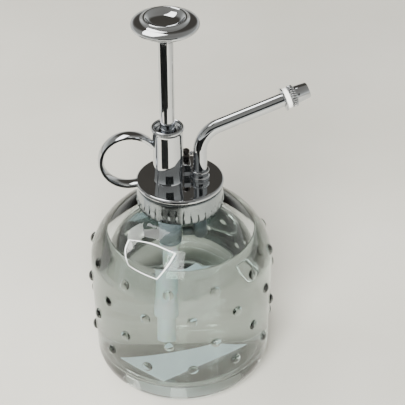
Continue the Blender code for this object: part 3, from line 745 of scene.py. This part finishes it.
def bent_skin(shape, radius):
    """One wall of the tube, outer or inner. Returns its two end loops."""
    outward = Vector((math.cos(SPOUT_TURN), math.sin(SPOUT_TURN), 0))
    turn = math.pi / 2 - SPOUT_RISE
    reach = BEND_R * math.tan(turn / 2)
    foot = 95.5 * MM
    bend_z = CORNER_Z - reach
    ring = bmesh.ops.create_circle(shape, cap_ends=False, segments=48, radius=radius,
                                   matrix=Matrix.Translation((0, 0, foot)))["verts"]
    start = list({edge for vert in ring for edge in vert.link_edges})
    top = push(shape, start, (0, 0, bend_z - foot))
    verts = list({vert for edge in top for vert in edge.verts})
    centre = outward * BEND_R + Vector((0, 0, bend_z))
    axis = Vector((0, 0, 1)).cross(outward)
    spun_out = bmesh.ops.spin(shape, geom=verts + top, cent=centre, axis=axis, angle=turn, steps=20,
                              use_merge=False, use_duplicate=False)["geom_last"]
    last = [item for item in spun_out if isinstance(item, bmesh.types.BMEdge)]
    return start, push(shape, last, spout_ahead() * (SPOUT_END - reach))


def add_spout():
    shape = bmesh.new()
    outer_foot, outer_end = bent_skin(shape, TUBE_R)
    inner_foot, inner_end = bent_skin(shape, TUBE_BORE_R)
    bmesh.ops.bridge_loops(shape, edges=outer_foot + inner_foot)
    bmesh.ops.bridge_loops(shape, edges=outer_end + inner_end)
    bmesh.ops.translate(shape, vec=(STEM_X, 0, 0), verts=shape.verts)
    return finish_mesh("spout", shape)


dress(add_spout(), CHROME, "head", "spout_tube", slot="mirror_chrome")

# %% Spout collar
def add_collar():
    foot = PLATE_Z - 0.05 * MM
    outline = [(3.1 * MM, foot), (4.05 * MM, foot), (4.05 * MM, foot + 0.8 * MM),
               (3.6 * MM, foot + 1.1 * MM), (3.6 * MM, foot + 3.0 * MM)]
    outline += arc(3.5 * MM, foot + 3.55 * MM, 0.5 * MM, -60, 120, 8)
    outline += [(3.1 * MM, foot + 3.95 * MM)]
    return turned("stem_collar", outline, 64, 0.1 * MM, centre=(STEM_X, 0))


dress(add_collar(), CHROME, "head", "spout_collar", slot="mirror_chrome")

# %% [markdown]
# ## The nozzle
#
# Behind the nozzle come a thin flange and a white plastic ring. The nozzle itself turns: a
# toothed grip ring with a slim tapered tip. Each of them is turned upright first and then
# stood on the spout's line.

# %% Nozzle pieces
TEETH = 28
STEPS_PER_TOOTH = 8
FLANGE_AT = 38.35 * MM


def lay_on_spout(shape):
    """Turn an upright shape so that its axis runs along the spout from the corner."""
    turn = spout_ahead().to_track_quat("Z", "Y").to_matrix().to_4x4()
    place = Matrix.Translation((STEM_X, 0, CORNER_Z)) @ turn
    bmesh.ops.transform(shape, matrix=place, verts=shape.verts)
    return shape


def add_flange():
    at = FLANGE_AT
    outline = [(3.05 * MM, at), (5.0 * MM, at), (5.15 * MM, at + 0.35 * MM), (5.0 * MM, at + 0.7 * MM),
               (3.05 * MM, at + 0.7 * MM)]
    return finish_mesh("nozzle_disc", lay_on_spout(spun(outline, 64, 0.08 * MM)))


def add_washer():
    at = FLANGE_AT + 0.85 * MM
    outline = [(3.05 * MM, at), (4.5 * MM, at), (4.5 * MM, at + 2.1 * MM), (3.05 * MM, at + 2.1 * MM)]
    return finish_mesh("plastic_ring", lay_on_spout(spun(outline, 64, 0.25 * MM)))


def add_nozzle():
    at = FLANGE_AT + 3.1 * MM
    grip_r = 4.8 * MM
    outline = [(3.15 * MM, at), (grip_r - 0.3 * MM, at), (grip_r, at + 0.3 * MM),
               (grip_r, at + 2.1 * MM), (grip_r - 0.3 * MM, at + 2.4 * MM), (4.05 * MM, at + 2.5 * MM),
               (3.85 * MM, at + 2.8 * MM), (3.8 * MM, at + 3.4 * MM), (3.5 * MM, 49.5 * MM),
               (3.1 * MM, 50.0 * MM), (1.0 * MM, 50.0 * MM), (0.45 * MM, 49.6 * MM),
               (0.45 * MM, 48.9 * MM), (2.4 * MM, 48.9 * MM), (2.4 * MM, 44.3 * MM), (3.15 * MM, 44.3 * MM)]
    shape = spun(outline, TEETH * STEPS_PER_TOOTH)
    for vert in shape.verts:
        reach = vert.co.xy.length
        if reach > grip_r - 0.35 * MM:
            angle = math.atan2(vert.co.y, vert.co.x)
            valley = (0.5 - 0.5 * math.cos(angle * TEETH)) ** 1.6
            vert.co.xy *= 1 - 0.085 * valley
    return finish_mesh("nozzle", lay_on_spout(shape), 50)


dress(add_flange(), CHROME, "head", "nozzle_flange", slot="mirror_chrome")
dress(add_washer(), WHITE, "head", "nozzle_washer", slot="white_plastic")
dress(add_nozzle(), CHROME, "nozzle", "nozzle_cap", slot="mirror_chrome")

# %% [markdown]
# ## Block and screws
#
# A small block stands between the barrel and the stem, with a screw at its back. The screw is
# coloured near black all over: a painted reflection of the dark room that its polished top mirrors.
# A tiny set screw sits in the stem's side.

# %% Block and screws
def add_block():
    shape = bmesh.new()
    bmesh.ops.create_cube(shape, size=1.0)
    low_corner, high_corner = (Vector(corner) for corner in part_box("bridge_block"))
    size = high_corner - low_corner
    bmesh.ops.scale(shape, vec=size, verts=shape.verts)
    bmesh.ops.translate(shape, vec=(low_corner + high_corner) / 2 - Vector((0, 0, 0.2 * MM)),
                        verts=shape.verts)
    bmesh.ops.bevel(shape, geom=shape.edges[:], offset=0.35 * MM, offset_type="OFFSET", segments=3,
                    profile=0.5, affect="EDGES", material=-1)
    return finish_mesh("small_block", shape)


def add_vent_screw():
    foot = low("vent_screw", 2) - 0.3 * MM
    outline = [(0, foot), (1.6 * MM, foot), (1.6 * MM, foot + 1.9 * MM), (1.1 * MM, foot + 2.2 * MM),
               (1.1 * MM, foot + 2.9 * MM), (1.55 * MM, foot + 3.2 * MM), (1.55 * MM, foot + 4.1 * MM),
               (1.2 * MM, foot + 4.55 * MM), (0.5 * MM, foot + 4.6 * MM), (0.45 * MM, foot + 4.3 * MM),
               (0, foot + 4.3 * MM)]
    centre = (middle("vent_screw", 0), middle("vent_screw", 1))
    return turned("vent", outline, 48, 0.1 * MM, centre=centre)


def add_set_screw():
    outline = [(0, -0.2 * MM), (0.9 * MM, -0.2 * MM), (0.9 * MM, 0.7 * MM), (0.55 * MM, 1.2 * MM),
               (0, 1.35 * MM)]
    shape = spun(outline, 32, 0.1 * MM)
    place = Matrix.Translation((high("set_screw", 0), 0, middle("set_screw", 2)))
    bmesh.ops.transform(shape, matrix=place @ Matrix.Rotation(-math.pi / 2, 4, "Y"), verts=shape.verts)
    return finish_mesh("side_screw", shape)


dress(add_block(), CHROME, "head", "bridge_block", slot="mirror_chrome")
# The vent screw's near-black colour is a painted reflection of the dark room above.
dress(add_vent_screw(), DARK_REFLECTION_METAL, "head", "vent_screw", slot="dark_metal")
dress(add_set_screw(), CHROME, "head", "set_screw", slot="mirror_chrome")

# %% [markdown]
# ## Inside the bottle
#
# Through the glass one sees the pump's body, the dark duct that feeds the spout, and the milky
# tube that reaches into the water. They get the same care, because glass hides nothing.

# %% Pump body and tubes
def add_pump_body():
    foot, top = low("pump_cylinder", 2), high("pump_cylinder", 2)
    step = 94.1 * MM
    outline = [(1.5 * MM, foot), (4.9 * MM, foot), (5.3 * MM, foot + 0.5 * MM), (5.3 * MM, foot + 3 * MM),
               (5.15 * MM, foot + 3.3 * MM), (5.15 * MM, foot + 11 * MM), (5.3 * MM, foot + 11.3 * MM),
               (5.3 * MM, step), (4.7 * MM, step), (4.7 * MM, top), (4.0 * MM, top),
               (4.0 * MM, foot + 2.3 * MM), (1.5 * MM, foot + 2.3 * MM)]
    return turned("pump_body", outline, 64, 0.12 * MM, centre=(PUMP_X, 0))


def add_housing():
    foot, top = low("inlet_housing", 2), high("inlet_housing", 2)
    outline = [(3.1 * MM, foot), (3.5 * MM, foot), (3.7 * MM, foot + 0.5 * MM), (3.7 * MM, top - 3.5 * MM),
               (5.05 * MM, top - 2.1 * MM), (5.05 * MM, top), (1.4 * MM, top), (1.4 * MM, top - 4.1 * MM),
               (2.6 * MM, top - 4.1 * MM), (2.6 * MM, 52.0 * MM), (3.1 * MM, 52.0 * MM)]
    return turned("suction_housing", outline, 64, 0.12 * MM, centre=(PUMP_X, 0))


def add_dip_tube():
    foot, top = low("dip_tube", 2), high("dip_tube", 2)
    outline = [(2.0 * MM, foot), (2.8 * MM, foot), (2.8 * MM, top), (2.0 * MM, top)]
    return turned("suction_tube", outline, 64, 0.2 * MM, centre=(PUMP_X, 0))


dress(add_pump_body(), BLUE_GREY, "head", "pump_cylinder", slot="blue_grey_plastic")
dress(add_housing(), MILKY, "head", "inlet_housing", slot="milky_plastic")
dress(add_dip_tube(), MILKY, "head", "dip_tube", slot="milky_plastic")

# %% Duct
PORT_Z = 67.0 * MM


def add_duct():
    foot, top = low("outlet_duct", 2), high("outlet_duct", 2)
    riser = [(0, foot), (1.8 * MM, foot + 0.1 * MM), (3.0 * MM, foot + 0.8 * MM), (3.5 * MM, foot + 2 * MM),
             (3.5 * MM, foot + 6.4 * MM), (3.2 * MM, foot + 7.4 * MM), (3.1 * MM, top - 2 * MM),
             (3.5 * MM, top - 1.6 * MM), (3.5 * MM, top), (1.4 * MM, top), (1.4 * MM, 75.2 * MM),
             (2.3 * MM, 75.2 * MM), (2.3 * MM, 71.4 * MM), (1.3 * MM, 70.2 * MM), (1.3 * MM, 65.5 * MM),
             (0, 65.5 * MM)]
    duct = turned("delivery_duct", riser, 64, 0.12 * MM, centre=(STEM_X, 0))
    start = low("outlet_duct", 0)
    reach = STEM_X - 1.6 * MM - start
    shape = spun([(0, 0), (2.6 * MM, 0), (2.6 * MM, reach), (0, reach)], 48, 0.15 * MM)
    lay = Matrix.Translation((start, 0, PORT_Z)) @ Matrix.Rotation(math.pi / 2, 4, "Y")
    bmesh.ops.transform(shape, matrix=lay, verts=shape.verts)
    join(duct, finish_mesh("arm", shape))
    return duct


dress(add_duct(), GREY, "head", "outlet_duct", slot="grey_plastic")

# %% [markdown]
# ## Labels
#
# A plain paper label is glued in the recess under the foot. Glue leaves no air, so the paper
# lies a hair inside the glass here; with air between them the foot would act as a mirror and
# hide it. A second label, of clear film, follows the shoulder. Both are blank.

# %% Paper label under the foot
LABEL_CORNERS = ((-19.6, 1.5), (-9.0, -19.6), (17.2, 11.5), (9.0, 19.5))
LABEL_THICK = 0.25 * MM
LABEL_SUNK = 0.15 * MM


def add_paper_label():
    shape = bmesh.new()
    corners = [shape.verts.new((x * MM, y * MM, RECESS_Z + LABEL_SUNK)) for x, y in LABEL_CORNERS]
    sheet = shape.faces.new(corners)
    made = bmesh.ops.extrude_face_region(shape, geom=[sheet], use_keep_orig=True)["geom"]
    top = [item for item in made if isinstance(item, bmesh.types.BMVert)]
    bmesh.ops.translate(shape, vec=(0, 0, LABEL_THICK), verts=top)
    return finish_mesh("foot_label", shape, 30)


dress(add_paper_label(), PAPER, "bottle")

# %% [markdown]
# The film is a grid of points bent over the shoulder and given thickness outwards. Its corners
# are angles in degrees and heights in millimetres, and its top and left sides swell a little.
# Its cut edge scatters light and looks white, so the faces round the border get a milkier
# finish.

# %% Clear film on the shoulder
FILM_STEPS = 18
FILM_CORNERS = ((-145.0, 79.8), (-98.5, 79.6), (-111.0, 70.4), (-134.0, 72.4))
FILM_THICK = 0.35 * MM
FILM_SUNK = 0.05 * MM
FILM_BORDER = 0.03
TOP_SWELL = 1.7
LEFT_SWELL = 2.5
SHOULDER_SLOPE = 0.9


def film_place(u, v):
    """A point of the film, from its place across (u) and down (v), both 0 to 1."""
    corners = [Vector(corner) for corner in FILM_CORNERS]
    top = corners[0].lerp(corners[1], u)
    bottom = corners[3].lerp(corners[2], u)
    spot = top.lerp(bottom, v)
    spot.y += TOP_SWELL * math.sin(u * math.pi) * (1 - v)
    spot.x -= LEFT_SWELL * math.sin(v * math.pi) * (1 - u)
    angle, height = math.radians(spot.x), spot.y * MM
    radius = outer_radius(height) - FILM_SUNK
    return Vector((radius * math.cos(angle), radius * math.sin(angle), height))


def to_border(part):
    """Draw the grid's second and last-but-one rows close to the border, for a thin white edge."""
    if 0.01 < part < 1.5 / FILM_STEPS:
        return FILM_BORDER
    if 1 - 1.5 / FILM_STEPS < part < 0.99:
        return 1 - FILM_BORDER
    return part


def add_film():
    shape = bmesh.new()
    bmesh.ops.create_grid(shape, x_segments=FILM_STEPS, y_segments=FILM_STEPS, size=0.5)
    for vert in shape.verts:
        vert.co = film_place(to_border(vert.co.x + 0.5), to_border(0.5 - vert.co.y))
    bmesh.ops.recalc_face_normals(shape, faces=shape.faces)
    for face in shape.faces:
        face.material_index = int(any(vert.is_boundary for vert in face.verts))
    made = bmesh.ops.extrude_face_region(shape, geom=shape.faces[:], use_keep_orig=True)["geom"]
    top = [item for item in made if isinstance(item, bmesh.types.BMVert)]
    for vert in top:
        outward = Vector((vert.co.x, vert.co.y, 0)).normalized() + Vector((0, 0, SHOULDER_SLOPE))
        vert.co += outward.normalized() * FILM_THICK
    film = finish_mesh("shoulder_film", shape, 30)
    film.data.materials.append(FILM)
    film.data.materials.append(FILM_EDGE)
    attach(film, "bottle")
    return film


print("film faces:", len(add_film().data.polygons))

# %% Plain CAD parts that stay
KEPT = {"mouth_gasket": WHITE_RUBBER, "pump_flange": GREY, "rod_wiper": BLACK_RUBBER,
        "swirl_core": BRASS, "piston": BRASS, "piston_seal": BLACK_RUBBER, "return_spring": STEEL,
        "inlet_seat": WHITE, "inlet_ball": STEEL, "outlet_ball": STEEL}
for node, finish in KEPT.items():
    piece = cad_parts[node]
    piece.data.materials.clear()
    piece.data.materials.append(finish)
print("kept parts:", len(KEPT))

# %% [markdown]
# ## Table and light
#
# A pale plain table and soft light. The polished parts show whatever surrounds them, so the
# room is bright low down, dimmer above, and dark straight behind, where a flat top mirrors it
# towards the camera. Curved cards on the table draw the long dark and bright stripes on the rod
# and the barrel. Diffuse surfaces get only part of the room's light, so that the bottle's own
# shadow, which is seen through it, stays dark.

# %% Table
def add_table():
    shape = bmesh.new()
    bmesh.ops.create_grid(shape, x_segments=1, y_segments=1, size=6.0)
    table = finish_mesh("table", shape)
    finish, tree, shader = new_finish("pale_table", (0.62, 0.605, 0.545), Roughness=0.5)
    vary_colour(tree, shader, (0.59, 0.575, 0.515), (0.64, 0.625, 0.57), 9.0)
    table.data.materials.append(finish)
    return table


print("table:", add_table().name)

# %% Lights
def add_area(name, place, aim, size, power, colour=(1, 1, 1)):
    data = bpy.data.lights.new(name, "AREA")
    data.shape = "RECTANGLE"
    data.size, data.size_y = size
    data.energy = power
    data.color = colour
    light = bpy.data.objects.new(name, data)
    bpy.context.scene.collection.objects.link(light)
    light.location = place
    light.rotation_euler = (Vector(aim) - Vector(place)).to_track_quat("-Z", "Y").to_euler()
    return light


FLOOR_FILL = 0.55


def add_world():
    """A room seen by polished metal: bright low down, dimmer above, dark straight behind."""
    world = bpy.data.worlds.new("room")
    world.use_nodes = True
    tree = world.node_tree
    view = add_node(tree, "ShaderNodeTexCoord").outputs["Generated"]
    split = add_node(tree, "ShaderNodeSeparateXYZ", {"Vector": view})
    ramp = add_node(tree, "ShaderNodeValToRGB", {"Fac": split.outputs["Z"]})
    stops = ramp.color_ramp.elements
    stops[0].position, stops[0].color = 0.0, (1.3, 1.3, 1.24, 1)
    stops[1].position, stops[1].color = 1.0, (0.30, 0.29, 0.27, 1)
    side = stops.new(0.22)
    side.color = (0.90, 0.91, 0.87, 1)
    high_side = stops.new(0.45)
    high_side.color = (0.45, 0.45, 0.42, 1)
    back = (math.cos(LOOK_DOWN) * math.sin(-LOOK_ROUND), math.cos(LOOK_DOWN) * math.cos(LOOK_ROUND),
            math.sin(LOOK_DOWN))
    near = add_node(tree, "ShaderNodeVectorMath", {0: view, 1: back}, operation="DOT_PRODUCT")
    dark = add_node(tree, "ShaderNodeMapRange", {"Value": near.outputs["Value"], "From Min": 0.80,
                                                 "From Max": 0.93}, interpolation_type="SMOOTHSTEP")
    shade = add_node(tree, "ShaderNodeMixRGB", {"Fac": dark.outputs["Result"],
                                                "Color1": ramp.outputs["Color"],
                                                "Color2": (0.100, 0.092, 0.080, 1)})
    tree.links.new(shade.outputs["Color"], tree.nodes["Background"].inputs["Color"])
    path = add_node(tree, "ShaderNodeLightPath")
    strength = add_node(tree, "ShaderNodeMapRange", {"Value": path.outputs["Is Diffuse Ray"],
                                                     "To Min": 1.0, "To Max": FLOOR_FILL})
    tree.links.new(strength.outputs["Result"], tree.nodes["Background"].inputs["Strength"])
    bpy.context.scene.world = world


def add_card(name, first, last, reach, height, foot=0.0, glow=0.0):
    """A curved studio card round the mister, seen only in reflections, dark or softly glowing."""
    shape = bmesh.new()
    foot_vert = shape.verts.new((0, -reach, foot))
    top_vert = shape.verts.new((0, -reach, height))
    edge = shape.edges.new((foot_vert, top_vert))
    bmesh.ops.rotate(shape, cent=(0, 0, 0), matrix=Matrix.Rotation(math.radians(first), 3, "Z"),
                     verts=shape.verts)
    bmesh.ops.spin(shape, geom=[foot_vert, top_vert, edge], cent=(0, 0, 0), axis=(0, 0, 1),
                   angle=math.radians(last - first), steps=24, use_merge=False, use_duplicate=False)
    card = finish_mesh(name, shape)
    finish, tree, shader = new_finish(name + "_card", (0.015, 0.017, 0.018), Roughness=0.9)
    if glow:
        shader.inputs["Emission Color"].default_value = (1.0, 1.0, 0.98, 1.0)
        shader.inputs["Emission Strength"].default_value = glow
    card.data.materials.append(finish)
    card.visible_camera = False
    card.visible_diffuse = False
    card.visible_transmission = False
    card.visible_shadow = False
    return card


add_world()
add_area("front_window", (-0.24, -0.95, 0.66), (0, 0, 0.05), (0.5, 0.6), 52.0,
         (1.0, 0.995, 0.96)).visible_glossy = False
add_area("left_window", (-1.0, 0.25, 0.55), (0, 0, 0.05), (0.5, 0.5), 13.0,
         (1.0, 0.98, 0.93)).visible_glossy = False
add_area("overhead_light", (-0.36, 0.36, 1.20), (0, 0, 0.1), (0.8, 0.5), 7.5, (1.0, 0.99, 0.97))
add_card("near_dark", -56, -4, 0.135, 0.115)
add_card("rod_dark", -96, 14, 0.150, 0.130, foot=0.032)
add_card("front_dark", -28, 34, 0.450, 0.440, foot=0.200)
add_card("left_bright", -112, -84, 0.150, 0.075, glow=1.3)
